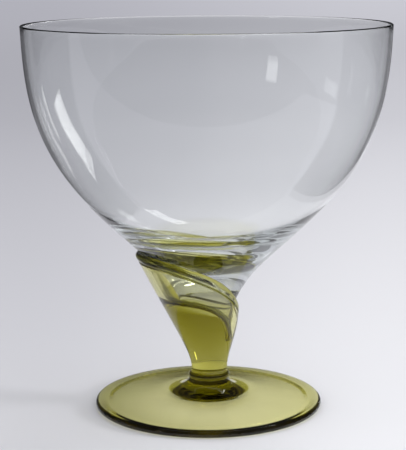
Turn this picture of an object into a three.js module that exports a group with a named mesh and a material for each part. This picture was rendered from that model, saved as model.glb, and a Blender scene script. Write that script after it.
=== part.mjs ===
// Footed glass bowl: a clear blown bowl with a solid tail, an olive stem whose leaf wraps the
// tail and traps a pocket of air, and an olive disc foot. Millimetres, +Z up, origin at the
// centre of the circle on which the foot stands. The viewer's side is -Y.
import * as THREE from 'three';

// Bowl, outside
const RIM_HEIGHT = 250;
const RIM_RADIUS = 117.9;
const INFLECTION = { r: 70.2, z: 128.3 };      // where the cup's curve turns into the cone's
const CUP_PULL = { r: 1.8, z: 38.1 };          // from the rim straight down to its curve handle
const CONE_ANGLE = THREE.MathUtils.degToRad(44.9);
const CUP_HANDLE = 63.3;
const CONE_HANDLE = 50;
const TAIL_TOP = { r: 13.3, z: 59.5 };         // the solid clear tail inside the leaf
const TAIL_ANGLE = THREE.MathUtils.degToRad(22.9);
const TAIL_TOP_HANDLE = 37.7;
const CORE_END = { r: 7, drop: 44.5 };         // where the same line ends below the lip's middle
const TAIL_JOIN = 2;                           // level ring this far above the slanting cut
const SOLE = { drop: 15.5, slope: 0.45, top: THREE.MathUtils.degToRad(-168) };  // tail's cut end

// Bowl, inside
const RIM_WALL = 2;
const SIDE_WALL = { z: 170, thickness: 2.8 };  // level wall thickness where the base begins
const FLOOR_HEIGHT = 100;
const FLOOR_RISE = 6;                          // how much the floor's curve handle lifts
const FLOOR_HANDLE = 35;
const BASE_HANDLE = 60;

// Stem and leaf
const NECK_RADIUS = 11.7;
const STEM_BOTTOM = 22;
const NECK_RISE = 2;                           // straight part of the neck above its bottom
const NECK_HANDLE = 11;
const STEM_SHIFT = 0.8;                        // the neck stands this far to the right
const LIP = { middle: 80.5, swing: 21.3, low: THREE.MathUtils.degToRad(28), haste: 1.3 };
const LIP_RADIUS = { middle: 3.15, swing: 0.3 };
const LIP_SEAT = 0.55;                         // share of its radius from the cone to its centre
const SHOULDER = { r: 20.4, drop: 10.9 };      // leaf lines lean on this ring below the low lip
const POCKET_DROP = { high: 8, low: 35 };      // its floor winds down from the lip's middle height
const POCKET_HIGH_AT = THREE.MathUtils.degToRad(-150);
const POCKET_LOW_AT = THREE.MathUtils.degToRad(0);
const POCKET_BEND = 1.6;                       // how late the floor turns down
const POCKET_FALL = 0.15;                      // slope of the floor towards the axis
const POCKET_HEAD = 1.25;                      // lip radii it keeps from the lip's centre
const POCKET_MIDDLE = THREE.MathUtils.degToRad(-97.5);
const POCKET_REACH = THREE.MathUtils.degToRad(112);
const POCKET_FADE = THREE.MathUtils.degToRad(30);
const LEAF_WALL = 3.8;

// Collar and foot
const COLLAR_BOTTOM = 14;
const FOOT_RADIUS = 74.6;
const FOOT_EDGE = 4.5;
const FOOT_STAND = { inset: 2.6, width: 6 };   // flat ring that touches the table
const FOOT_STEP = { width: 4, rise: 1 };       // bevel inside that ring
const FOOT_ARCH = 5.6;                         // height of the hollow under the foot
const FILLET_START = { reach: 16.3, z: 10 };   // reaches past the neck
const FILLET_HANDLE = { reach: 2.8, z: 11.2 };
const WAIST = { reach: 1.2, drop: 3.4 };       // narrowest ring, below the stem's bottom
const ROLL = { reach: 2.2, low: 0.9, high: 0.5 };

// Fits and fineness
const GAP = 0.3;
const BOWL_SIDES = 48;
const STEM_SIDES = 48;
const FOOT_SIDES = 56;

const point = (r, z) => new THREE.Vector2(r, z);
const fullTurn = 2 * Math.PI;
const turnFrom = (start, angle) => THREE.MathUtils.euclideanModulo(angle - start, fullTurn);
const coreEnd = point(CORE_END.r, LIP.middle - CORE_END.drop);

const cupCurve = () => {
  const direction = point(Math.sin(CONE_ANGLE), Math.cos(CONE_ANGLE));
  const low = point(INFLECTION.r, INFLECTION.z);
  return new THREE.CubicBezierCurve(
    point(RIM_RADIUS, RIM_HEIGHT),
    point(RIM_RADIUS - CUP_PULL.r, RIM_HEIGHT - CUP_PULL.z),
    low.clone().addScaledVector(direction, CUP_HANDLE),
    low,
  );
};

const coneCurve = () => {
  const direction = point(Math.sin(CONE_ANGLE), Math.cos(CONE_ANGLE));
  const tail = point(Math.sin(TAIL_ANGLE), Math.cos(TAIL_ANGLE));
  const high = point(INFLECTION.r, INFLECTION.z);
  const low = point(TAIL_TOP.r, TAIL_TOP.z);
  return new THREE.CubicBezierCurve(
    high,
    high.clone().addScaledVector(direction, -CONE_HANDLE),
    low.clone().addScaledVector(tail, TAIL_TOP_HANDLE),
    low,
  );
};

const tailCurve = () => {
  const direction = point(Math.sin(TAIL_ANGLE), Math.cos(TAIL_ANGLE));
  const high = point(TAIL_TOP.r, TAIL_TOP.z);
  const third = (TAIL_TOP.z - coreEnd.y) / 3;
  return new THREE.CubicBezierCurve(
    high,
    high.clone().addScaledVector(direction, -third),
    point(coreEnd.x, coreEnd.y + third),
    coreEnd,
  );
};

// Radius of the bowl's outside at a height, by halving along the curve that holds it
const outsideCurves = [cupCurve(), coneCurve(), tailCurve()];
const radiusOn = (curve, z) => {
  let low = 0;
  let high = 1;
  for (let step = 0; step < 40; step += 1) {
    const middle = (low + high) / 2;
    if (curve.getPoint(middle).y > z) low = middle;
    else high = middle;
  }
  return curve.getPoint(low).x;
};
const bowlRadius = (z) => {
  if (z > INFLECTION.z) return radiusOn(outsideCurves[0], z);
  if (z > TAIL_TOP.z) return radiusOn(outsideCurves[1], z);
  return radiusOn(outsideCurves[2], z);
};
const bowlSlope = (z) => bowlRadius(z + 0.5) - bowlRadius(z - 0.5);

// A height that depends on the radius there, found on the cone's line
const meetCone = (heightAt, gap = 0) => {
  let z = LIP.middle - SOLE.drop;
  for (let step = 0; step < 40; step += 1) z = heightAt(bowlRadius(z) + gap);
  return z;
};

// The clear tail is cut off along a slanting plane
const soleHeight = (r, angle) => (
  LIP.middle - SOLE.drop + SOLE.slope * r * Math.cos(angle - SOLE.top)
);
const heelHeight = (angle) => meetCone((r) => soleHeight(r, angle));

const lathe = (points, sides) => {
  const geometry = new THREE.LatheGeometry(points, sides);
  geometry.rotateX(Math.PI / 2);
  return geometry;
};

// A skin through one profile at each angle. A profile is a list of {r, z}, in the order that
// keeps the solid on its left as it is drawn with r to the right. A profile that starts and
// ends on the axis closes there, and any other closes on itself. Each four-cornered field is
// split along its shorter diagonal, so that the two faces of a winding cut stay parallel.
const loft = (profileAt, sides) => {
  const profiles = [];
  for (let side = 0; side < sides; side += 1) {
    profiles.push(profileAt((side / sides) * 2 * Math.PI));
  }
  const count = profiles[0].length;
  const capped = profiles[0][0].r === 0;
  const positions = [];
  const rows = [];
  profiles.forEach((profile, side) => {
    const angle = (side / sides) * 2 * Math.PI;
    rows.push(profile.map(({ r, z }, place) => {
      const pole = capped && (place === 0 || place === count - 1);
      if (pole && side > 0) return rows[0][place];
      positions.push(r * Math.cos(angle), r * Math.sin(angle), z);
      return positions.length / 3 - 1;
    }));
  });
  const corner = (row) => new THREE.Vector3(...positions.slice(3 * row, 3 * row + 3));
  const triangles = [];
  const steps = capped ? count - 1 : count;
  for (let side = 0; side < sides; side += 1) {
    const here = rows[side];
    const there = rows[(side + 1) % sides];
    for (let place = 0; place < steps; place += 1) {
      const next = (place + 1) % count;
      const [a, b, c, d] = [here[place], there[place], there[next], here[next]];
      if (a === b) triangles.push(a, c, d);
      else if (c === d) triangles.push(a, b, c);
      else if (corner(a).distanceTo(corner(c)) < corner(b).distanceTo(corner(d))) {
        triangles.push(a, b, c, a, c, d);
      } else triangles.push(a, b, d, b, c, d);
    }
  }
  const geometry = new THREE.BufferGeometry();
  geometry.setAttribute('position', new THREE.Float32BufferAttribute(positions, 3));
  geometry.setIndex(triangles);
  geometry.computeVertexNormals();
  return geometry;
};

// Share of a rising curve at which a test of its point turns true
const shareWhere = (curve, test) => {
  let low = 0;
  let high = 1;
  for (let step = 0; step < 40; step += 1) {
    const middle = (low + high) / 2;
    if (test(curve.getPoint(middle))) high = middle;
    else low = middle;
  }
  return low;
};

const asProfile = (points) => points.map(({ x, y }) => ({ r: x, z: y }));

// Points between two ends, which are left out
const pointsBetween = (start, end, fields) => (
  Array.from({ length: fields - 1 }, (_, place) => start.clone().lerp(end, (place + 1) / fields))
);

// Everything of the bowl above the level ring where the slanting tail begins
const tailJoin = heelHeight(SOLE.top) + TAIL_JOIN;
const bowlAboveTail = () => {
  const [cup, cone] = outsideCurves;
  const join = shareWhere(cone, ({ y }) => y < tailJoin);
  const outside = [];
  const coneSteps = 9;
  for (let step = 0; step < coneSteps; step += 1) {
    outside.push(cone.getPoint(join * (1 - step / coneSteps)));
  }
  const cupLine = cup.getPoints(13).reverse();
  cupLine[cupLine.length - 1] = point(RIM_RADIUS, RIM_HEIGHT - RIM_WALL / 2);
  const innerTop = RIM_HEIGHT - RIM_WALL / 2;
  const inside = [];
  const upperSteps = 6;
  for (let step = 0; step < upperSteps; step += 1) {
    const share = step / upperSteps;
    const z = THREE.MathUtils.lerp(innerTop, SIDE_WALL.z, share);
    const wall = THREE.MathUtils.lerp(RIM_WALL, SIDE_WALL.thickness, share);
    inside.push(point(bowlRadius(z) - wall, z));
  }
  const side = point(bowlRadius(SIDE_WALL.z) - SIDE_WALL.thickness, SIDE_WALL.z);
  const down = point(bowlSlope(SIDE_WALL.z), 1).normalize();
  const base = new THREE.CubicBezierCurve(
    side,
    side.clone().addScaledVector(down, -BASE_HANDLE),
    point(FLOOR_HANDLE, FLOOR_HEIGHT + FLOOR_RISE),
    point(0, FLOOR_HEIGHT),
  );
  const rim = point(RIM_RADIUS - RIM_WALL / 2, RIM_HEIGHT);
  return [...outside, ...cupLine, rim, ...inside, ...base.getPoints(12)];
};

const aboveTail = bowlAboveTail();
const bowlProfile = (angle) => {
  const heel = heelHeight(angle);
  const tail = [];
  const tailSteps = 4;
  for (let step = 0; step < tailSteps; step += 1) {
    const z = THREE.MathUtils.lerp(heel, tailJoin, step / tailSteps);
    tail.push(point(bowlRadius(z), z));
  }
  return asProfile([point(0, soleHeight(0, angle)), ...tail, ...aboveTail]);
};

// The lip rises gently across the viewer's side and steeply behind on the right
const lipWave = (angle) => {
  let turn = turnFrom(LIP.low, angle);
  if (turn < Math.PI) turn = Math.PI * (1 - (1 - turn / Math.PI) ** LIP.haste);
  return -Math.cos(turn);
};
const lipRadius = (angle) => LIP_RADIUS.middle - LIP_RADIUS.swing * lipWave(angle);
const neckRadius = (angle) => NECK_RADIUS + STEM_SHIFT * Math.cos(angle);

// The pocket's floor is a ramp that winds down to the right
const pocketHeight = (r, angle) => {
  const front = turnFrom(POCKET_HIGH_AT, POCKET_LOW_AT);
  const turn = turnFrom(POCKET_HIGH_AT, angle);
  const share = turn < front
    ? (turn / front) ** POCKET_BEND
    : (fullTurn - turn) / (fullTurn - front);
  const eased = (1 - Math.cos(Math.PI * share)) / 2;
  const drop = THREE.MathUtils.lerp(POCKET_DROP.high, POCKET_DROP.low, eased);
  return LIP.middle - drop + POCKET_FALL * (r - SHOULDER.r);
};

// How open the pocket is at an angle, from 0 to 1. Elsewhere the leaf is solid up to the tail
const pocketShare = (angle) => {
  const away = Math.abs(turnFrom(POCKET_MIDDLE - Math.PI, angle) - Math.PI);
  return THREE.MathUtils.smoothstep(POCKET_REACH - away, 0, POCKET_FADE);
};

// Centre of the leaf's round lip, which is let into the cone
const lipCentre = (angle) => {
  const height = LIP.middle + LIP.swing * lipWave(angle);
  const reach = lipRadius(angle) * LIP_SEAT;
  let contact = height;
  for (let step = 0; step < 30; step += 1) {
    contact = height + reach * Math.sin(Math.atan(bowlSlope(contact)));
  }
  return point(bowlRadius(contact) + reach * Math.cos(Math.atan(bowlSlope(contact))), height);
};

// Outside line of stem and leaf at an angle, from the neck up to the lip
const leafLine = (angle) => {
  const centre = lipCentre(angle);
  const shoulder = point(SHOULDER.r, LIP.middle - LIP.swing - SHOULDER.drop);
  const neckTop = STEM_BOTTOM + NECK_RISE;
  const along = centre.clone().sub(shoulder).normalize();
  const outward = point(along.y, -along.x);
  return {
    centre,
    outward,
    curve: new THREE.CubicBezierCurve(
      point(neckRadius(angle), neckTop),
      point(neckRadius(angle), neckTop + NECK_HANDLE),
      shoulder,
      centre.clone().addScaledVector(outward, lipRadius(angle)),
    ),
  };
};

const stemProfile = (angle) => {
  const { curve } = leafLine(angle);
  const floorAt = (r) => pocketHeight(r, angle) - GAP / 2;
  const end = shareWhere(curve, ({ x, y }) => y > floorAt(x));
  const outside = [];
  const outsideSteps = 8;
  for (let step = 0; step <= outsideSteps; step += 1) {
    outside.push(curve.getPoint((end * step) / outsideSteps));
  }
  // Below the pocket's floor the tail sits in the stem, above it the core stands in the leaf
  const top = heelHeight(angle) - GAP;
  const gap = meetCone(floorAt) > top ? GAP : -GAP;
  const mouth = meetCone(floorAt, gap);
  const socket = [];
  const socketSteps = 4;
  for (let step = 0; step <= socketSteps; step += 1) {
    const z = THREE.MathUtils.lerp(mouth, top, step / socketSteps);
    socket.push(point(bowlRadius(z) + gap, z));
  }
  return asProfile([
    point(0, STEM_BOTTOM),
    point(neckRadius(angle), STEM_BOTTOM),
    ...outside,
    ...pointsBetween(outside[outsideSteps], socket[0], 4),
    ...socket,
    point(0, soleHeight(0, angle) - GAP),
  ]);
};

const leafProfile = (angle) => {
  const { centre, outward, curve } = leafLine(angle);
  const floorAt = (r) => pocketHeight(r, angle) + GAP / 2;
  const start = shareWhere(curve, ({ x, y }) => y > floorAt(x));
  const outside = [];
  const outsideSteps = 5;
  for (let step = 0; step <= outsideSteps; step += 1) {
    outside.push(curve.getPoint(THREE.MathUtils.lerp(start, 1, step / outsideSteps)));
  }

  // The lip's circle, cut where it meets the cone above and below
  const onLip = (direction) => (
    point(Math.cos(direction), Math.sin(direction)).multiplyScalar(lipRadius(angle)).add(centre)
  );
  const inCone = ({ x, y }) => x < bowlRadius(y) + GAP;
  const from = Math.atan2(outward.y, outward.x);
  const arc = (sign) => ({ getPoint: (share) => onLip(from + sign * Math.PI * share) });
  const over = arc(1);
  const overEnd = shareWhere(over, inCone);
  const lip = [];
  const lipSteps = 6;
  for (let step = 1; step <= lipSteps; step += 1) {
    lip.push(over.getPoint((overEnd * step) / lipSteps));
  }
  const under = arc(-1);
  const seatLow = under.getPoint(shareWhere(under, inCone));

  // Inside wall of the pocket, drawn back to the cone where the pocket is shut
  const wall = { getPoint: (share) => {
    const inward = curve.getTangent(share);
    return curve.getPoint(share).add(point(-inward.y, inward.x).multiplyScalar(LEAF_WALL));
  } };
  const foot = shareWhere(wall, ({ x, y }) => y > floorAt(x));
  const head = Math.max(
    shareWhere(wall, (spot) => spot.distanceTo(centre) < POCKET_HEAD * lipRadius(angle)),
    foot,
  );
  const mouth = meetCone(floorAt, GAP);
  const open = pocketShare(angle);
  const inside = [];
  const insideSteps = 5;
  for (let step = 1; step <= insideSteps; step += 1) {
    const share = step / insideSteps;
    const z = THREE.MathUtils.lerp(seatLow.y, mouth, share);
    const shut = point(bowlRadius(z) + GAP, z);
    inside.push(shut.lerp(wall.getPoint(THREE.MathUtils.lerp(head, foot, share)), open));
  }
  const floor = pointsBetween(inside[insideSteps - 1], outside[0], 3);
  return asProfile([...outside, ...lip, seatLow, ...inside, ...floor]);
};

// Hollow curve from the foot up to the waist, cut level between foot and collar, and the small
// roll of glass that joins the waist to the stem
const waist = point(NECK_RADIUS + WAIST.reach, STEM_BOTTOM - WAIST.drop);
const fillet = new THREE.QuadraticBezierCurve(
  point(NECK_RADIUS + FILLET_START.reach, FILLET_START.z),
  point(NECK_RADIUS + FILLET_HANDLE.reach, FILLET_HANDLE.z),
  waist,
);
const roll = new THREE.CubicBezierCurve(
  waist,
  point(NECK_RADIUS + ROLL.reach, waist.y + ROLL.low),
  point(NECK_RADIUS + ROLL.reach, STEM_BOTTOM - ROLL.high),
  point(NECK_RADIUS, STEM_BOTTOM),
);
const collarShare = shareWhere(fillet, ({ y }) => y > COLLAR_BOTTOM);

const collarProfile = (angle) => {
  const side = [];
  const steps = 4;
  for (let step = 0; step <= steps; step += 1) {
    side.push(fillet.getPoint(THREE.MathUtils.lerp(collarShare, 1, step / steps)));
  }
  side.push(...roll.getPoints(5).slice(1));
  const height = STEM_BOTTOM - COLLAR_BOTTOM;
  const shifted = side.map(({ x, y }) => (
    point(x + (STEM_SHIFT * Math.cos(angle) * (y - COLLAR_BOTTOM)) / height, y)
  ));
  return asProfile([point(0, COLLAR_BOTTOM), ...shifted, point(0, STEM_BOTTOM)]);
};

const footGeometry = () => {
  const rise = [];
  const riseSteps = 4;
  for (let step = 0; step <= riseSteps; step += 1) {
    rise.push(fillet.getPoint((collarShare * step) / riseSteps));
  }
  const standEdge = FOOT_RADIUS - FOOT_STAND.inset;
  const standInside = standEdge - FOOT_STAND.width;
  const edge = [];
  const edgeSteps = 4;
  const edgeRadius = FOOT_EDGE / 2;
  for (let step = 1; step < edgeSteps; step += 1) {
    const turn = -Math.PI / 2 + (Math.PI * step) / edgeSteps;
    edge.push(point(
      FOOT_RADIUS - edgeRadius + edgeRadius * Math.cos(turn),
      edgeRadius + edgeRadius * Math.sin(turn),
    ));
  }
  return lathe([
    point(0, FOOT_ARCH),
    point(NECK_RADIUS + FILLET_START.reach, FOOT_ARCH),
    point(standInside - FOOT_STEP.width, FOOT_STEP.rise),
    point(standInside, 0),
    point(standEdge, 0),
    ...edge,
    point(standEdge, FOOT_EDGE),
    ...rise,
    point(0, COLLAR_BOTTOM),
  ], FOOT_SIDES);
};

const CLEAR = { color: 0xeef2f2, roughness: 0.02, metalness: 0 };
const OLIVE = { color: 0x9a9440, roughness: 0.03, metalness: 0 };

const piece = (name, geometry, finish) => {
  const mesh = new THREE.Mesh(geometry, new THREE.MeshStandardMaterial(finish));
  mesh.name = name;
  return mesh;
};

const group = new THREE.Group();
group.add(
  piece('bowl', loft(bowlProfile, BOWL_SIDES), CLEAR),
  piece('leaf', loft(leafProfile, STEM_SIDES), OLIVE),
  piece('stem', loft(stemProfile, STEM_SIDES), OLIVE),
  piece('collar', loft(collarProfile, STEM_SIDES), OLIVE),
  piece('foot', footGeometry(), OLIVE),
);

export default group;
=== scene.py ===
"""Footed glass bowl: clear blown bowl, olive stem with a wrapped leaf, and olive disc foot.

Lengths are in metres, +Z up, with the origin at the centre of the circle on which the foot
stands. The viewer's side is -Y. The clear tail of the bowl is fused into the stem, so both
pieces let light pass unbent where they touch.
"""
import logging
import math
from dataclasses import dataclass, field
from enum import Enum

import bpy
import numpy as np
from mathutils import Matrix, Vector


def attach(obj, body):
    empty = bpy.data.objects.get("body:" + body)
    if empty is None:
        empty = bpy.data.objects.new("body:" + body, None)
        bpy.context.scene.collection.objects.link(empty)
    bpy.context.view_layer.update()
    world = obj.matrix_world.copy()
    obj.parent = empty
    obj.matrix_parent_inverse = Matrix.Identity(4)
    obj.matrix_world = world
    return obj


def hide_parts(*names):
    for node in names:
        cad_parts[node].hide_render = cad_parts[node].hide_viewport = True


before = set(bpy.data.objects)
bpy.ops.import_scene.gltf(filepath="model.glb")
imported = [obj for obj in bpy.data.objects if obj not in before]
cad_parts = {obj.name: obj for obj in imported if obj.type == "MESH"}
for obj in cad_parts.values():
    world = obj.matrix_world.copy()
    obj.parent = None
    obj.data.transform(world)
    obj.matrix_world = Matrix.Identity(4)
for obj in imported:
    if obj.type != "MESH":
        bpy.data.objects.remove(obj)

MM = 0.001
IN_MM = 1000
TURN = 2 * math.pi
# How far olive glass reaches into the clear glass that it is fused to.
SINK = 0.06 * MM
# Names of the numbers that each point carries: how much painted shade darkens its colour, and
# how far it lies inside an area that is fused to other glass.
PAINTED_SHADE = "painted_shade"
FUSED = "fused"
# Rounds after which a height that depends on itself has settled.
SETTLE_STEPS = 40
# Bounces for which a ray is followed through the walls, and off them.
THROUGH_BOUNCES = 32
MIRROR_BOUNCES = 16
Point = tuple[float, float] | np.ndarray
Colour = tuple[float, float, float]
Stop = tuple[float, Colour]
Feed = bpy.types.NodeSocket | float | tuple[float, ...] | bpy.types.Material


class Ray(Enum):
    """Names of the Light Path outputs that floor and room tell apart."""

    CAMERA = "Is Camera Ray"
    GLOSSY = "Is Glossy Ray"
    TRANSMISSION = "Is Transmission Ray"
    REFLECTION = "Is Reflection Ray"
    MATT_BOUNCES = "Diffuse Depth"
    MIRROR_BOUNCES = "Glossy Depth"


class Sight(Enum):
    """What a lamp lights: everything, the clear bowl and the floor, or matt things only."""

    ALL = "all"
    CLEAR = "clear"
    MATT = "matt"


def bezier(points: list[Point], count: int, crowd: float = 1.0) -> np.ndarray:
    """Sample a cubic curve.

    Args:
        points: Start, two handles and end, each as radius and height.
        count: Number of points along the curve, ends included.
        crowd: How much closer the points stand towards the end, 1 for evenly.

    Returns:
        An array of radius and height rows.
    """
    share = 1 - (1 - np.linspace(0, 1, count)[:, None]) ** crowd
    start, first, second, end = (np.array(p, float) for p in points)
    rest = 1 - share
    return (
        rest**3 * start
        + 3 * rest**2 * share * first
        + 3 * rest * share**2 * second
        + share**3 * end
    )


def ring(turns: np.ndarray) -> np.ndarray:
    """Return points on a circle of radius one, a row for each angle."""
    return np.column_stack([np.cos(turns), np.sin(turns)])


def unit(vector: np.ndarray) -> np.ndarray:
    """Return the vector at length one."""
    return vector / np.linalg.norm(vector)


def smooth(value: np.ndarray | float, low: float, high: float) -> np.ndarray | float:
    """Return 0 below the low end and 1 above the high end, with a soft rise between."""
    share = np.clip((value - low) / (high - low), 0.0, 1.0)
    return share * share * (3 - 2 * share)


def grid_mesh(
    name: str, rings: np.ndarray, fused: np.ndarray, painted_shade: np.ndarray
) -> bpy.types.Object:
    """Skin closed profiles, one for each angle round the axis.

    Args:
        name: Name of the new object.
        rings: Radius and height of each profile point, as angles x points x 2. Every profile
            starts and ends on the axis and keeps the glass on its left.
        fused: How far each point lies inside the fused area, negative where air touches it.
        painted_shade: How much painted shade darkens the glass at each point, from 0 to 1.

    Returns:
        The object, smooth shaded, with both attributes.
    """
    sides, count = rings.shape[:2]
    angles = np.arange(sides) / sides * TURN
    radius, height = rings[:, 1:-1, 0], rings[:, 1:-1, 1]
    spots = [radius * np.cos(angles)[:, None], radius * np.sin(angles)[:, None], height]
    place = np.stack(spots, axis=-1).reshape(-1, 3)
    low = (0.0, 0.0, float(rings[0, 0, 1]))
    high = (0.0, 0.0, float(rings[0, -1, 1]))
    verts = [tuple(p) for p in place] + [low, high]
    bottom, top = len(verts) - 2, len(verts) - 1
    rows = count - 2
    faces = []
    for side in range(sides):
        here, there = side * rows, (side + 1) % sides * rows
        faces.append((bottom, there, here))
        for row in range(rows - 1):
            faces.append((here + row, there + row, there + row + 1, here + row + 1))
        faces.append((here + rows - 1, there + rows - 1, top))
    mesh = bpy.data.meshes.new(name)
    mesh.from_pydata(verts, [], faces)
    mesh.shade_smooth()
    piece = bpy.data.objects.new(name, mesh)
    bpy.context.collection.objects.link(piece)
    for layer, values in ((FUSED, fused), (PAINTED_SHADE, painted_shade)):
        store(piece, layer, np.append(values[:, 1:-1].reshape(-1), values[0, [0, -1]]))
    return piece


def store(piece: bpy.types.Object, layer: str, values: np.ndarray) -> None:
    """Keep one number for each point of a piece under a name."""
    data = piece.data.attributes.new(layer, "FLOAT", "POINT").data
    data.foreach_set("value", values.astype(np.float32))


@dataclass
class Wiring:
    """Adds and joins the nodes of one node tree."""

    tree: bpy.types.NodeTree

    def add(self, kind: str, inputs: dict[str | int, Feed], **options: str) -> bpy.types.Node:
        """Add a node.

        Args:
            kind: Blender's name for the type of node.
            inputs: A value, or a socket to join, for each input by its name or number.
            options: Settings of the node, by name.

        Returns:
            The new node.
        """
        node = self.tree.nodes.new(kind)
        for name, value in options.items():
            setattr(node, name, value)
        self.feed(node, inputs)
        return node

    def feed(self, node: bpy.types.Node, inputs: dict[str | int, Feed]) -> None:
        """Set a node's inputs to values, or join them to sockets.

        Args:
            node: The node to feed.
            inputs: A value, or a socket to join, for each input by its name or number.
        """
        for name, value in inputs.items():
            if isinstance(value, bpy.types.NodeSocket):
                self.tree.links.new(value, node.inputs[name])
            else:
                node.inputs[name].default_value = value

    def reckon(self, kind: str, first: Feed, second: Feed = 0.0) -> bpy.types.NodeSocket:
        """Add a math node and return its value."""
        return self.add("ShaderNodeMath", {0: first, 1: second}, operation=kind).outputs[0]

    def place(self) -> bpy.types.NodeSocket:
        """Return the place on the object."""
        return self.add("ShaderNodeTexCoord", {}).outputs["Object"]

    def split(self, vector: Feed) -> bpy.types.bpy_prop_collection:
        """Return the X, Y and Z outputs of a vector."""
        return self.add("ShaderNodeSeparateXYZ", {0: vector}).outputs

    def mark(self, layer: str) -> bpy.types.NodeSocket:
        """Return the number that the mesh holds under a name."""
        return self.add("ShaderNodeAttribute", {}, attribute_name=layer).outputs["Fac"]

    def ray(self, kind: Ray) -> bpy.types.NodeSocket:
        """Return what the light path says about a ray."""
        return self.add("ShaderNodeLightPath", {}).outputs[kind.value]

    def noise(self, where: Feed, scale: float, detail: float, warp: float) -> bpy.types.NodeSocket:
        """Return a noise pattern, from its place, scale, detail and distortion."""
        inputs = {"Vector": where, "Scale": scale, "Detail": detail, "Distortion": warp}
        return self.add("ShaderNodeTexNoise", inputs).outputs["Fac"]

    def span(
        self,
        value: Feed,
        low: tuple[float, float],
        high: tuple[float, float],
        soft: bool = False,
    ) -> bpy.types.NodeSocket:
        """Map a value from one span to another.

        Args:
            value: The value to map.
            low: A value and what it becomes.
            high: A higher value and what it becomes.
            soft: Whether the rise is soft at both ends.

        Returns:
            The socket with the mapped value, clamped at both ends.
        """
        inputs = {
            "Value": value,
            "From Min": low[0],
            "From Max": high[0],
            "To Min": low[1],
            "To Max": high[1],
        }
        kind = "SMOOTHSTEP" if soft else "LINEAR"
        return self.add("ShaderNodeMapRange", inputs, interpolation_type=kind).outputs["Result"]

    def ramp(self, value: Feed, stops: tuple[Stop, ...]) -> bpy.types.NodeSocket:
        """Turn a value into a colour.

        Args:
            value: The value, from 0 to 1.
            stops: Places and colours of the ramp, in rising order.

        Returns:
            The socket with the colour.
        """
        node = self.add("ShaderNodeValToRGB", {"Fac": value})
        line = node.color_ramp
        while len(line.elements) < len(stops):
            line.elements.new(0.5)
        for element, (place, colour) in zip(line.elements, stops):
            element.position = place
            element.color = (*colour, 1.0)
        return node.outputs["Color"]

    def mix(
        self, share: Feed, first: Feed, second: Feed, kind: str = "MIX"
    ) -> bpy.types.NodeSocket:
        """Mix two colours.

        Args:
            share: How much of the second colour is in the mix.
            first: The colour below.
            second: The colour on top.
            kind: Blender's name for the way of mixing.

        Returns:
            The socket with the mixed colour.
        """
        inputs = {"Factor": share, 6: first, 7: second}
        node = self.add("ShaderNodeMix", inputs, data_type="RGBA", blend_type=kind)
        return node.outputs[2]


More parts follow.
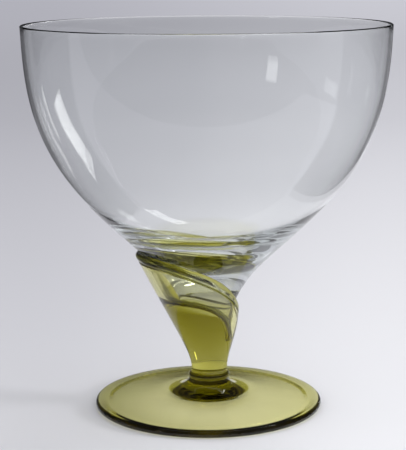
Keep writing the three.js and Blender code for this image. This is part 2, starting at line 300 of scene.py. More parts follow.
@dataclass(frozen=True)
class Glass:
    """A clean fire-polished glass with fine waves from blowing.

    Absorb and density are what volume absorption takes: colour, and strength for each metre.
    Where the glass is marked with painted shade, a glass without a painted dark reflection gets a
    deeper tint, which paints shade. A glass with a painted dark reflection keeps back that share
    of the light that comes from inside it, less in its streaks, which paints its inside
    reflections darker.
    """

    name: str
    tint: Colour
    tint_deep: Colour
    absorb: Colour
    density: float
    # Colour stops of the painted shade, from none to darkest.
    painted_shade: tuple[Stop, ...] = (
        (0.0, (1.0, 1.0, 1.0)),
        (0.4, (0.55, 0.53, 0.04)),
        (1.0, (0.012, 0.012, 0.001)),
    )
    # Strength of the painted dark reflection on faces seen from inside the glass.
    painted_dark_reflection: float = 0.0
    # Streaks in which the painted dark reflection is lighter.
    streak_scale: float = 90.0
    streak_detail: float = 2.0
    streak_warp: float = 1.2
    streak_span: tuple[float, float] = (0.48, 0.70)
    streak_depth: float = 0.16
    wave_scale: float = 60.0
    wave_stretch: float = 0.35
    wave_height: float = 0.02
    roughness: float = 0.0
    index: float = 1.5

    def material(self) -> bpy.types.Material:
        """Build the node tree of this glass.

        Returns:
            The material, with a see-through mask where the glass is fused to other glass.
        """
        mat = bpy.data.materials.new(self.name)
        mat.use_nodes = True
        mat.node_tree.nodes.clear()
        wiring = Wiring(mat.node_tree)
        stretch = {"Vector": wiring.place(), "Scale": (1.0, 1.0, self.wave_stretch)}
        where = wiring.add("ShaderNodeMapping", stretch).outputs["Vector"]
        waves = wiring.noise(where, self.wave_scale, 1.0, 0.0)
        bump = {"Strength": self.wave_height, "Distance": MM, "Height": waves}
        shader = wiring.add(
            "ShaderNodeBsdfPrincipled",
            {
                "IOR": self.index,
                "Roughness": self.roughness,
                "Transmission Weight": 1.0,
                "Normal": wiring.add("ShaderNodeBump", bump).outputs["Normal"],
                "Alpha": wiring.reckon("LESS_THAN", wiring.mark(FUSED), 0.0),
            },
        )
        tint = wiring.ramp(waves, ((0.0, self.tint), (1.0, self.tint_deep)))
        self.paint_shade(wiring, shader, tint)
        volume = {"Color": (*self.absorb, 1.0), "Density": self.density}
        depth = wiring.add("ShaderNodeVolumeAbsorption", volume)
        surfaces = {"Surface": shader.outputs["BSDF"], "Volume": depth.outputs["Volume"]}
        wiring.add("ShaderNodeOutputMaterial", surfaces)
        return mat

    def paint_shade(
        self, wiring: Wiring, shader: bpy.types.Node, tint: bpy.types.NodeSocket
    ) -> None:
        """Tint the glass, and darken it with painted shade where it is marked.

        Args:
            wiring: Wiring of the glass's node tree.
            shader: The glass shader.
            tint: Socket with the tint of the unmarked glass.
        """
        share = wiring.mark(PAINTED_SHADE)
        # Painted dark reflection: marked faces seen from inside let less light through and turn
        # darker.
        if self.painted_dark_reflection > 0:
            inward = wiring.add("ShaderNodeNewGeometry", {}).outputs["Backfacing"]
            from_inside = wiring.reckon("MULTIPLY", share, inward)
            streaks = wiring.noise(
                wiring.place(), self.streak_scale, self.streak_detail, self.streak_warp
            )
            low, high = self.streak_span
            level = wiring.span(streaks, (low, self.painted_dark_reflection), (high, self.painted_dark_reflection - self.streak_depth))
            share = wiring.reckon("MULTIPLY", from_inside, level)
            keep = wiring.reckon("SUBTRACT", 1.0, share)
            wiring.feed(shader, {"Transmission Weight": keep})
        # Painted shade: the marked share darkens the base colour.
        colour = wiring.mix(1.0, tint, wiring.ramp(share, self.painted_shade), "MULTIPLY")
        wiring.feed(shader, {"Base Color": colour})


CLEAR = Glass(
    "clear_glass",
    (0.985, 0.992, 0.99),
    (0.975, 0.986, 0.984),
    (0.88, 0.95, 0.93),
    6.0,
    # Strength of the painted dark reflection inside the bowl.
    painted_dark_reflection=0.995,
)
OLIVE = Glass("olive_glass", (0.99, 0.99, 0.97), (0.98, 0.98, 0.95), (0.76, 0.735, 0.06), 107.0)


@dataclass
class Cone:
    """Outside line of the clear bowl, from the rim down to the tail's end.

    Each point is a radius and a height, and the handles bend the line between them.
    """

    rim: tuple[float, float] = (117.9 * MM, 250 * MM)
    turn: tuple[float, float] = (70.2 * MM, 128.25 * MM)
    rim_handle: tuple[float, float] = (116.1 * MM, 211.9 * MM)
    cup_handle: tuple[float, float] = (114.9 * MM, 173.1 * MM)
    cone_handle: tuple[float, float] = (34.93 * MM, 92.89 * MM)
    tail_handle: tuple[float, float] = (27.98 * MM, 94.2 * MM)
    tail_top: tuple[float, float] = (13.3 * MM, 59.5 * MM)
    tail_low_handle: tuple[float, float] = (10.25 * MM, 52.28 * MM)
    tail_end_handle: tuple[float, float] = (7 * MM, 43.83 * MM)
    tail_end: tuple[float, float] = (7 * MM, 36 * MM)
    steps: int = 400
    tail_steps: int = 120
    slope_step: float = 0.3 * MM
    line: np.ndarray = field(init=False)

    def __post_init__(self) -> None:
        """Sample the line once, rising, for radius lookups."""
        cup = [self.rim, self.rim_handle, self.cup_handle, self.turn]
        cone = [self.turn, self.cone_handle, self.tail_handle, self.tail_top]
        tail = [self.tail_top, self.tail_low_handle, self.tail_end_handle, self.tail_end]
        cup, cone = bezier(cup, self.steps), bezier(cone, self.steps)
        tail = bezier(tail, self.tail_steps)
        self.line = np.vstack([cup, cone[1:], tail[1:]])[::-1]

    def radius(self, height: np.ndarray | float) -> np.ndarray | float:
        """Return the outside radius at a height."""
        return np.interp(height, self.line[:, 1], self.line[:, 0])

    def slope(self, height: np.ndarray | float) -> np.ndarray | float:
        """Return how fast the radius grows with height."""
        low, high = height - self.slope_step, height + self.slope_step
        return (self.radius(high) - self.radius(low)) / (2 * self.slope_step)


@dataclass
class Leaf:
    """Lines of the olive stem and leaf round the clear tail.

    The lip is a round bead that slants round the cone, high at the left in front and low at the
    right behind. Under it lies a pocket of air, whose floor winds down to the right. The sole is
    the slanting end of the clear tail.
    """

    cone: Cone
    neck_radius: float = 11.7 * MM
    neck_shift: float = 0.8 * MM
    neck_bottom: float = 22 * MM
    neck_rise: float = 2 * MM
    neck_handle: float = 11 * MM
    lip_middle: float = 80.5 * MM
    lip_swing: float = 21.3 * MM
    lip_low: float = math.radians(28)
    lip_haste: float = 1.3
    lip_radius: float = 3.15 * MM
    lip_radius_swing: float = 0.3 * MM
    lip_seat: float = 0.55
    shoulder_radius: float = 20.4 * MM
    shoulder_drop: float = 10.9 * MM
    pocket_high: float = 8.0 * MM
    pocket_low: float = 35.0 * MM
    pocket_high_at: float = math.radians(-150)
    pocket_low_at: float = math.radians(0)
    pocket_bend: float = 1.6
    pocket_fall: float = 0.15
    pocket_middle: float = math.radians(-97.5)
    pocket_reach: float = math.radians(112)
    pocket_fade: float = math.radians(30)
    sole_drop: float = 15.5 * MM
    sole_slope: float = 0.45
    sole_top: float = math.radians(-168)
    wall: float = 3.8 * MM
    crowd: float = 1.7
    touch_steps: int = 600
    sides: int = 256

    def lip_wave(self, angle: float) -> float:
        """Shape the lip's rise: gentle in front, steep behind on the right.

        Args:
            angle: Angle round the axis.

        Returns:
            The rise, from -1 at the low side to 1 at the high side.
        """
        turn = (angle - self.lip_low) % TURN
        if turn < math.pi:
            turn = math.pi * (1 - (1 - turn / math.pi) ** self.lip_haste)
        return -math.cos(turn)

    def lip_height(self, angle: float) -> float:
        """Return the height of the lip's centre at an angle."""
        return self.lip_middle + self.lip_swing * self.lip_wave(angle)

    def bead(self, angle: float) -> float:
        """Return the lip's radius at an angle."""
        return self.lip_radius - self.lip_radius_swing * self.lip_wave(angle)

    def pocket_height(self, radius: float, angle: float) -> float:
        """Shape the pocket's floor, a ramp that winds down to the right.

        Args:
            radius: Distance from the axis.
            angle: Angle round the axis.

        Returns:
            The floor's height there.
        """
        front = self.pocket_low_at - self.pocket_high_at
        turn = (angle - self.pocket_high_at) % TURN
        if turn < front:
            share = (turn / front) ** self.pocket_bend
        else:
            share = (TURN - turn) / (TURN - front)
        deeper = (self.pocket_low - self.pocket_high) * (1 - math.cos(math.pi * share)) / 2
        drop = self.pocket_high + deeper
        return self.lip_middle - drop + self.pocket_fall * (radius - self.shoulder_radius)

    def pocket_edge(self, angle: float) -> float:
        """Return how far round an angle lies inside the pocket, negative beyond its ends."""
        away = (angle - self.pocket_middle + math.pi) % TURN - math.pi
        return self.pocket_reach - abs(away)

    def pocket_share(self, angle: float) -> float:
        """Return how open the pocket is at an angle, from 0 to 1."""
        share = min(max(self.pocket_edge(angle) / self.pocket_fade, 0.0), 1.0)
        return share * share * (3 - 2 * share)

    def mouth(self, angle: float) -> float:
        """Find where the pocket's floor meets the tail.

        Args:
            angle: Angle round the axis.

        Returns:
            The height of that place.
        """
        height = self.lip_middle - self.pocket_high
        for _ in range(SETTLE_STEPS):
            height = self.pocket_height(float(self.cone.radius(height)), angle)
        return height

    def sole(self, radius: float, angle: float) -> float:
        """Return the height of the clear tail's slanting end."""
        middle = self.lip_middle - self.sole_drop
        return middle + self.sole_slope * radius * math.cos(angle - self.sole_top)

    def heel(self, angle: float) -> float:
        """Find where the side of the clear tail ends.

        Args:
            angle: Angle round the axis.

        Returns:
            The height of that place.
        """
        height = self.lip_middle - self.sole_drop
        for _ in range(SETTLE_STEPS):
            height = self.sole(float(self.cone.radius(height)), angle)
        return height

    def lip_centre(self, angle: float) -> np.ndarray:
        """Seat the lip on the cone.

        Args:
            angle: Angle round the axis.

        Returns:
            Radius and height of the lip's centre.
        """
        height = self.lip_height(angle)
        reach = self.bead(angle) * self.lip_seat
        contact = height
        for _ in range(SETTLE_STEPS):
            lean = math.atan(self.cone.slope(contact))
            contact = height + reach * math.sin(lean)
        lean = math.atan(self.cone.slope(contact))
        return np.array([self.cone.radius(contact) + reach * math.cos(lean), height])

    def outside(self, angle: float, count: int) -> tuple[np.ndarray, np.ndarray, np.ndarray]:
        """Draw the outside line from the neck up to the lip.

        Args:
            angle: Angle round the axis.
            count: Number of points on the line.

        Returns:
            The line, the lip's centre, and the unit vector from that centre to the line's end.
        """
        centre = self.lip_centre(angle)
        shoulder = np.array(
            [self.shoulder_radius, self.lip_middle - self.lip_swing - self.shoulder_drop]
        )
        along = unit(centre - shoulder)
        outward = np.array([along[1], -along[0]])
        neck = self.neck_radius + self.neck_shift * math.cos(angle)
        low = self.neck_bottom + self.neck_rise
        end = centre + outward * self.bead(angle)
        handle = low + self.neck_handle
        line = bezier([(neck, low), (neck, handle), shoulder, end], count, self.crowd)
        return line, centre, outward

    def touch(self, centre: np.ndarray, bead: float) -> tuple[float, float]:
        """Find the ends of the lip's seat on the cone.

        Args:
            centre: Radius and height of the lip's centre.
            bead: Radius of the lip.

        Returns:
            The heights of the upper and the lower end.
        """
        spread = np.linspace(centre[1] - 2 * bead, centre[1] + 2 * bead, self.touch_steps)
        away = np.hypot(self.cone.radius(spread) - centre[0], spread - centre[1])
        inside = spread[away < bead]
        return float(inside[-1]), float(inside[0])


@dataclass
class Cut:
    """One upright cut through stem and leaf, with the lines that its parts share."""

    leaf: Leaf
    angle: float
    count: int = 120
    line: np.ndarray = field(init=False)
    along: np.ndarray = field(init=False)
    inward: np.ndarray = field(init=False)
    centre: np.ndarray = field(init=False)
    outward: np.ndarray = field(init=False)
    bead: float = field(init=False)
    upper: float = field(init=False)
    lower: float = field(init=False)

    def __post_init__(self) -> None:
        """Draw the outside line and find the ends of the lip's seat."""
        self.line, self.centre, self.outward = self.leaf.outside(self.angle, self.count)
        self.bead = self.leaf.bead(self.angle)
        self.upper, self.lower = self.leaf.touch(self.centre, self.bead)
        along = np.gradient(self.line, axis=0)
        self.along = along / np.linalg.norm(along, axis=1)[:, None]
        self.inward = np.column_stack([-self.along[:, 1], self.along[:, 0]])

    def reach(self, line: np.ndarray) -> np.ndarray:
        """Return how far points lie from the lip's centre."""
        return np.hypot(*(line - self.centre).T)


@dataclass
class LeafStem:
    """The olive stem and the leaf that rises from it, one fused body of glass.

    A fine groove runs under the lip, darkened with painted shade. Places and widths of the groove
    and of the lip's painted shade count in radii of the lip from its centre. The lip carries
    painted shade, darkest on one side. The crease is a painted dark line where the pocket's wall
    turns into its floor, and it widens to the right; the pocket's wall carries a light painted
    shade.
    """

    leaf: Leaf
    finish: Glass = OLIVE
    name: str = "stem_with_leaf"
    floor_round: float = 2.2 * MM
    floor_swell: float = 1.6
    floor_sag: float = 0.5
    floor_least: float = 0.5 * MM
    floor_reach: float = 0.6
    arch_handle: float = 2.2 * MM
    lip_clear: float = 1.25
    shut_gap: float = 0.02 * MM
    groove: float = 0.55 * MM
    groove_place: float = 1.35
    groove_width: float = 0.13
    # Painted shade on the lip, darkest on the side at this angle.
    painted_dark_side: float = math.radians(-150)
    lip_painted_shade: tuple[float, float] = (0.06, 0.92)
    lip_painted_shade_power: int = 4
    lip_painted_shade_ends: tuple[float, float] = (1.15, 1.3)
    # Painted shade on the pocket's wall and in its crease.
    pocket_painted_shade: float = 0.17
    crease_painted_shade: float = 0.9
    crease_rows: tuple[int, int] = (2, 8)
    crease_widens: tuple[float, float] = (math.radians(-100), math.radians(-40))
    disc_points: int = 12
    side_points: int = 3
    arc_points: int = 22
    seat_points: int = 12
    arch_points: int = 18
    wall_points: int = 30
    wall_least: int = 3
    floor_points: int = 20
    socket_points: int = 12
    cap_points: int = 14

    def lip(self, cut: Cut) -> tuple[np.ndarray, np.ndarray]:
        """Draw the lip.

        Args:
            cut: The cut that the profile lies in.

        Returns:
            Its round side in air, and its seat on the clear cone.
        """
        cone = self.leaf.cone
        top = np.array([cone.radius(cut.upper), cut.upper]) - cut.centre
        start = math.atan2(cut.outward[1], cut.outward[0])
        turns = np.linspace(start, math.atan2(top[1], top[0]), self.arc_points)[1:]
        heights = np.linspace(cut.upper, cut.lower, self.seat_points)[1:-1]
        seat = np.column_stack([cone.radius(heights) - SINK, heights])
        return cut.centre + cut.bead * ring(turns), seat

    def lining(self, cut: Cut) -> tuple[np.ndarray, np.ndarray, np.ndarray]:
        """Follow the outside line inwards by the leaf's thickness.

        Args:
            cut: The cut that the profile lies in.

        Returns:
            The leaf's inner wall, falling, and the line's direction at its top and bottom.
        """
        inner = cut.line + cut.inward * self.leaf.wall
        floor = np.array([self.leaf.pocket_height(r, cut.angle) for r in inner[:, 0]])
        first = int(np.argmax(inner[:, 1] > floor + self.floor_round))
        below_lip = cut.reach(inner) > cut.bead * self.lip_clear
        last = max(int(np.nonzero(below_lip)[0][-1]), first + self.wall_least)
        picks, steps = np.linspace(last, first, self.wall_points), np.arange(len(inner))
        wall = np.column_stack([np.interp(picks, steps, inner[:, axis]) for axis in (0, 1)])
        return wall, cut.along[last], cut.along[first]

    def hollow(self, cut: Cut, mouth: float, end: float) -> tuple[np.ndarray, int]:
        """Draw the open pocket: an arch under the lip, the leaf's wall and a rounded floor.

        Args:
            cut: The cut that the profile lies in.
            mouth: Height at which the pocket's floor would meet the tail.
            end: Height at which the line has to end on the tail.

        Returns:
            The line, and how many of its points lie on the floor.
        """
        leaf, cone = self.leaf, self.leaf.cone
        wall, up, down = self.lining(cut)
        lean = math.atan(cone.slope(cut.lower))
        seat = np.array([cone.radius(cut.lower), cut.lower])
        off_seat = seat + np.array([math.cos(lean), -math.sin(lean)]) * self.arch_handle
        off_top = wall[0] + up * self.arch_handle
        arch = bezier([seat, off_seat, off_top, wall[0]], self.arch_points)[:-1]
        tail = np.array([cone.radius(mouth), mouth])
        reach = max(wall[-1][0] - tail[0], self.floor_least) * self.floor_reach
        across = unit(np.array([1.0, leaf.pocket_fall])) * reach
        off_wall = wall[-1] - down * self.floor_round * self.floor_swell
        off_tail = tail + across - np.array([0, self.floor_round * self.floor_sag])
        trough = bezier([wall[-1], off_wall, off_tail, tail], self.floor_points)[1:]
        shift = np.array([cone.radius(end), end]) - trough[-1]
        trough = trough + np.linspace(0, 1, len(trough))[:, None] * shift
        return np.vstack([arch, wall, trough]), len(trough)

    def profile(self, angle: float) -> tuple[np.ndarray, np.ndarray, np.ndarray]:
        """Draw the closed profile at an angle, from the axis at the neck's bottom.

        Args:
            angle: Angle round the axis.

        Returns:
            Profile points, how far each lies inside a fused area, and how much painted shade
            darkens it.
        """
        leaf, cone = self.leaf, self.leaf.cone
        cut = Cut(leaf, angle)
        neck = cut.line[0, 0]
        across = np.linspace(0, neck, self.disc_points)
        disc = np.column_stack([across, np.full(len(across), leaf.neck_bottom - SINK)])
        climb = np.linspace(leaf.neck_bottom, cut.line[0, 1], self.side_points + 1)[:-1]
        side = np.column_stack([np.full(len(climb), neck), climb])
        arc, seat = self.lip(cut)
        share, mouth, heel = leaf.pocket_share(angle), leaf.mouth(angle), leaf.heel(angle)
        over_heel = mouth > heel
        end = mouth if over_heel else heel + share * (mouth - heel)
        pocket, floor_count = self.hollow(cut, mouth, end)
        levels = np.linspace(cut.lower, end, len(pocket) + 1)[1:]
        gap = np.where(levels > heel, -SINK, self.shut_gap)
        shut = np.column_stack([cone.radius(levels) + gap, levels])
        climb = np.linspace(end, heel, self.socket_points)[1:]
        socket = np.column_stack([cone.radius(climb) - (SINK if over_heel else 0.0), climb])
        across = np.linspace(float(cone.radius(heel)) - SINK, 0, self.cap_points)
        reach = cut.reach(cut.line) / cut.bead
        groove = np.exp(-(((reach - self.groove_place) / self.groove_width) ** 2))
        parts = {
            "disc": disc,
            "side": side,
            "line": cut.line + cut.inward * (self.groove * groove)[:, None],
            "arc": arc,
            "seat": seat,
            "pocket": shut + share * (pocket - shut),
            "socket": socket,
            "cap": np.array([(r, leaf.sole(r, angle) + SINK) for r in across]),
        }
        ends = dict(zip(parts, np.cumsum([len(part) for part in parts.values()])))
        # Painted shade on the lip, the pocket and the crease, and a painted dark line in the
        # groove.
        colour = self.depth(angle, share, ends, ends["pocket"] - floor_count)
        painted_band = self.lip_painted_shade_at(angle) * (1 - smooth(reach, *self.lip_painted_shade_ends))
        colour[ends["side"] : ends["line"]] = np.maximum(painted_band, groove)
        return np.vstack(list(parts.values())), self.marks(share, over_heel, ends), colour

    def marks(self, share: float, over_heel: bool, ends: dict[str, int]) -> np.ndarray:
        """Mark where the olive glass is fused to other glass.

        Args:
            share: How open the pocket is, from 0 to 1.
            over_heel: Whether the pocket's floor meets the side of the tail.
            ends: Number of the point after each part's last one.

        Returns:
            How many points each point lies inside a fused area, negative in air.
        """
        shut = share == 0
        marks = np.full(ends["cap"], -1.0)
        disc = ends["disc"] - 1
        marks[: disc + 1] = disc - np.arange(disc + 1)
        top, low = ends["arc"] - 1, ends["seat"]
        span = np.arange(top, low + 1)
        marks[top : low + 1] = np.minimum(span - top, low - span)
        if shut:
            marks[ends["seat"] - 2 : ends["pocket"]] = 1.0
        rim = ends["pocket" if over_heel or shut else "socket"] - 1
        marks[rim:] = np.arange(ends["cap"] - rim) + (1 if shut else 0)
        return marks

    def lip_painted_shade_at(self, angle: float) -> float:
        """Return how much painted shade darkens the lip at an angle, most on its dark side."""
        facing = max(0.0, math.cos(angle - self.painted_dark_side))
        return self.lip_painted_shade[0] + self.lip_painted_shade[1] * facing**self.lip_painted_shade_power

    def depth(
        self, angle: float, share: float, ends: dict[str, int], floor: int
    ) -> np.ndarray:
        """Paint shade on the lip, the pocket and the crease in its floor.

        Args:
            angle: Angle round the axis.
            share: How open the pocket is, from 0 to 1.
            ends: Number of the point after each part's last one.
            floor: Number of the floor's first point.

        Returns:
            How much painted shade darkens each point, from 0 to 1.
        """
        painted_shade = np.zeros(ends["cap"])
        painted_shade[ends["line"] : ends["arc"]] = self.lip_painted_shade_at(angle)
        above, below = self.crease_rows
        painted_shade[ends["seat"] : floor - above] = self.pocket_painted_shade * share
        wider = float(smooth((angle + math.pi) % TURN - math.pi, *self.crease_widens))
        top, bottom = floor - above - round(above * wider), floor + below + round(below * wider)
        painted_shade[top:bottom] = self.crease_painted_shade * share
        return painted_shade

    def build(self) -> bpy.types.Object:
        """Build the body as one skin through its profiles.

        Returns:
            The body, not yet dressed.
        """
        angles = np.arange(self.leaf.sides) / self.leaf.sides * TURN
        drawn = [self.profile(float(angle)) for angle in angles]
        rings, marks, painted_shade = (np.array(rows) for rows in zip(*drawn))
        return grid_mesh(self.name, rings, marks, painted_shade)

    def dress(self, piece: bpy.types.Object) -> None:
        """Give the body its glass and its place in the model.

        Args:
            piece: The body that was built.
        """
        piece.data.materials.append(self.finish.material())
        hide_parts("stem", "leaf")
        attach(piece, "root")


@dataclass
class LatheTree:
    """Geometry Nodes that turn a profile round the Z axis."""

    name: str
    sides: int
    weld: float = 0.001 * MM

    def make(self, profile: np.ndarray, material: bpy.types.Material) -> bpy.types.Object:
        """Turn a profile into a closed glass body.

        Args:
            profile: Radius and height rows, from the axis at the bottom to the axis on top.
            material: The glass of the body.

        Returns:
            The finished plain mesh object.
        """
        count = len(profile)
        line = bpy.data.meshes.new(self.name + "_line")
        line.from_pydata(
            [(float(r), 0.0, float(z)) for r, z in profile],
            [(i, i + 1) for i in range(count - 1)],
            [],
        )
        piece = bpy.data.objects.new(self.name, line)
        bpy.context.collection.objects.link(piece)
        turned = piece.modifiers.new("lathe", "NODES")
        turned.node_group = self.tree(material)
        sizes = {"Sides": self.sides, "Points": count}
        for item in turned.node_group.interface.items_tree:
            if item.item_type == "SOCKET" and item.name in sizes:
                turned[item.identifier] = sizes[item.name]
        bpy.context.view_layer.update()
        evaluated = piece.evaluated_get(bpy.context.evaluated_depsgraph_get())
        mesh = bpy.data.meshes.new_from_object(evaluated)
        piece.modifiers.clear()
        piece.data = mesh
        mesh.name = self.name
        return piece

    def tree(self, material: bpy.types.Material) -> bpy.types.GeometryNodeTree:
        """Build the node tree: a grid whose columns are the profile, turned step by step.

        Args:
            material: The glass of the body.

        Returns:
            The tree, with the number of sides and of profile points as its inputs.
        """
        tree = bpy.data.node_groups.new(self.name + "_lathe", "GeometryNodeTree")
        face = tree.interface
        face.new_socket("Geometry", in_out="INPUT", socket_type="NodeSocketGeometry")
        for name, usual in (("Sides", 64), ("Points", 8)):
            socket = face.new_socket(name, in_out="INPUT", socket_type="NodeSocketInt")
            socket.default_value = usual
        face.new_socket("Geometry", in_out="OUTPUT", socket_type="NodeSocketGeometry")
        wiring = Wiring(tree)
        add, reckon = wiring.add, wiring.reckon
        given = add("NodeGroupInput", {}).outputs
        sides, points = given["Sides"], given["Points"]
        size = {"Vertices X": reckon("ADD", sides, 1), "Vertices Y": points}
        grid = add("GeometryNodeMeshGrid", size).outputs["Mesh"]
        index = add("GeometryNodeInputIndex", {}).outputs[0]
        column = reckon("FLOOR", reckon("DIVIDE", index, points))
        row = reckon("SUBTRACT", index, reckon("MULTIPLY", column, points))
        angle = reckon("MULTIPLY", reckon("DIVIDE", column, sides), TURN)
        spot = add("GeometryNodeInputPosition", {}).outputs[0]
        source = {"Geometry": given["Geometry"], "Value": spot, "Index": row}
        read = add("GeometryNodeSampleIndex", source, data_type="FLOAT_VECTOR")
        drawn = wiring.split(read.outputs["Value"])
        turned = {
            "X": reckon("MULTIPLY", drawn["X"], reckon("COSINE", angle)),
            "Y": reckon("MULTIPLY", drawn["X"], reckon("SINE", angle)),
            "Z": drawn["Z"],
        }
        place = {"Geometry": grid, "Position": add("ShaderNodeCombineXYZ", turned).outputs[0]}
        skin = add("GeometryNodeSetPosition", place).outputs[0]
        weld = {"Geometry": skin, "Distance": self.weld}
        skin = add("GeometryNodeMergeByDistance", weld).outputs[0]
        skin = add("GeometryNodeSetShadeSmooth", {"Geometry": skin}).outputs[0]
        skin = add("GeometryNodeRealizeInstances", {0: skin}).outputs[0]
        dress = {"Geometry": skin, "Material": material}
        skin = add("GeometryNodeSetMaterial", dress).outputs[0]
        add("NodeGroupOutput", {0: skin})
        return tree


def points_of(piece: bpy.types.Object) -> np.ndarray:
    """Read where the piece's points are.

    Args:
        piece: A mesh object.

    Returns:
        The points as rows of x, y and z.
    """
    flat = np.empty(len(piece.data.vertices) * 3, np.float32)
    piece.data.vertices.foreach_get("co", flat)
    return flat.reshape(-1, 3).astype(float)


def move_points(piece: bpy.types.Object, spots: np.ndarray) -> None:
    """Put the piece's points at new places."""
    piece.data.vertices.foreach_set("co", spots.astype(np.float32).reshape(-1))
    piece.data.update()


@dataclass
class ClearBowl:
    """The clear blown bowl with its solid base and tail.

    Painted shade darkens the floor's reflection for light that comes from inside the glass: a
    painted dark reflection in a round area over the leaf, and a painted shade arc on the slope of
    the thick base.
    """

    leaf: Leaf
    finish: Glass = CLEAR
    name: str = "clear_bowl"
    rim_wall: float = 2.0 * MM
    side_height: float = 170 * MM
    side_wall: float = 2.8 * MM
    floor_height: float = 100 * MM
    floor_rise: float = 6 * MM
    floor_handle: float = 35 * MM
    base_handle: float = 60 * MM
    base_top: float = 128 * MM
    outer_end: float = 1.0 * MM
    outside_gap: float = 0.5 * MM
    tail_low: float = 50 * MM
    tail_high: float = 76 * MM
    tail_side: float = 0.6
    end_slope: float = 15 * MM
    sunk: float = 0.05 * MM
    # Painted dark reflection: a round area over the leaf, paler in its middle.
    painted_dark_middle: tuple[float, float] = (-9 * MM, -9 * MM)
    painted_dark_radius: float = 33.2 * MM
    painted_dark_edge: float = 1 * MM
    painted_dark_core: float = 0.9
    painted_dark_core_ends: tuple[float, float] = (10 * MM, 18 * MM)
    painted_dark_rise: float = 18.5 * MM
    # Painted shade arc on the slope of the thick base.
    shade: float = 0.65
    shade_radius: float = 51.7 * MM
    shade_width: tuple[float, float] = (0.6 * MM, 1.7 * MM)
    shade_at: float = math.radians(-105)
    shade_reach: float = math.radians(42)
    shade_full: float = 0.6
    outer_points: tuple[int, int, int] = (48, 96, 60)
    lip_points: int = 12
    inner_points: int = 30
    base_points: int = 110
    fused_steps: int = 721
    sides: int = 192

    def profile(self) -> np.ndarray:
        """Draw the profile from the tail's end, up the outside and down the inside.

        Returns:
            Radius and height rows, from the axis below to the axis above.
        """
        cone = self.leaf.cone
        levels = [self.tail_low, self.tail_high, self.base_top, cone.rim[1] - self.outer_end]
        spans = zip(levels[:-1], levels[1:], self.outer_points)
        heights = np.concatenate([np.linspace(low, high, n)[1:] for low, high, n in spans])
        outer = np.column_stack([cone.radius(heights), heights])
        cap = np.array([[0.0, self.tail_low]])
        half = self.rim_wall / 2
        turns = np.linspace(0, math.pi, self.lip_points)[1:]
        lip = np.array(cone.rim) - half + half * ring(turns)
        down = np.linspace(cone.rim[1] - half, self.side_height, self.inner_points)[1:]
        share = (down - down[-1]) / (cone.rim[1] - half - down[-1])
        wall = self.side_wall + (self.rim_wall - self.side_wall) * share
        inner = np.column_stack([cone.radius(down) - wall, down])
        lean = unit(np.array([cone.slope(self.side_height), 1.0]))
        off_side = inner[-1] - lean * self.base_handle
        off_floor = (self.floor_handle, self.floor_height + self.floor_rise)
        floor = (0.0, self.floor_height)
        base = bezier([inner[-1], off_side, off_floor, floor], self.base_points)[1:]
        return np.vstack([cap, outer, lip, inner, base])

    def build(self) -> bpy.types.Object:
        """Turn the profile, shape the tail and mark where the olive glass is fused.

        Returns:
            The bowl in its glass.
        """
        piece = LatheTree(self.name, self.sides).make(self.profile(), self.finish.material())
        spots = points_of(piece)
        radius = np.hypot(spots[:, 0], spots[:, 1])
        outside = np.abs(radius - self.leaf.cone.radius(spots[:, 2])) < self.outside_gap
        outside |= spots[:, 2] < self.tail_high
        spots = self.seat_tail(spots)
        move_points(piece, spots)
        store(piece, FUSED, np.where(outside, self.fused_depth(spots) * IN_MM, -1.0))
        # Paint the dark reflection and the shade arc into the bowl's glass.
        store(piece, PAINTED_SHADE, np.where(outside, 0.0, self.painted_dark_reflection(spots)))
        return piece

    def seat_tail(self, spots: np.ndarray) -> np.ndarray:
        """Lay the tail's points down to its slanting end, which lies along the pocket's floor.

        Args:
            spots: Points of the turned bowl.

        Returns:
            The points, with those of the tail moved.
        """
        leaf, moved = self.leaf, spots.copy()
        for place in np.nonzero(spots[:, 2] < self.tail_high)[0]:
            x, y, z = spots[place]
            angle = math.atan2(y, x)
            heel = leaf.heel(angle)
            share = (self.tail_high - z) / (self.tail_high - self.tail_low)
            if share < self.tail_side:
                height = self.tail_high + (heel - self.tail_high) * share / self.tail_side
                reach = float(leaf.cone.radius(height))
            else:
                reach = float(leaf.cone.radius(heel)) * (1 - share) / (1 - self.tail_side)
                height = leaf.sole(reach, angle)
            moved[place] = reach * math.cos(angle), reach * math.sin(angle), height
        return moved

    def painted_dark_reflection(self, spots: np.ndarray) -> np.ndarray:
        """Return how much painted shade darkens the floor's inward reflection.

        Args:
            spots: Points of the bowl.

        Returns:
            A number from 0 to 1 for each point: a round area over the leaf, paler in its
            middle, and an arc on the slope of the thick base.
        """
        away = np.hypot(spots[:, 0] - self.painted_dark_middle[0], spots[:, 1] - self.painted_dark_middle[1])
        edge = 1 - smooth(away, self.painted_dark_radius - self.painted_dark_edge, self.painted_dark_radius)
        core = self.painted_dark_core + (1 - self.painted_dark_core) * smooth(away, *self.painted_dark_core_ends)
        off_arc = np.abs(np.hypot(spots[:, 0], spots[:, 1]) - self.shade_radius)
        side = np.abs(np.arctan2(spots[:, 1], spots[:, 0]) - self.shade_at)
        full = self.shade_reach * self.shade_full
        painted_band = self.shade * (1 - smooth(off_arc, *self.shade_width))
        painted_band *= 1 - smooth(side, full, self.shade_reach)
        low = spots[:, 2] < self.floor_height + self.painted_dark_rise
        return np.where(low, np.maximum(edge * core, painted_band), 0.0)

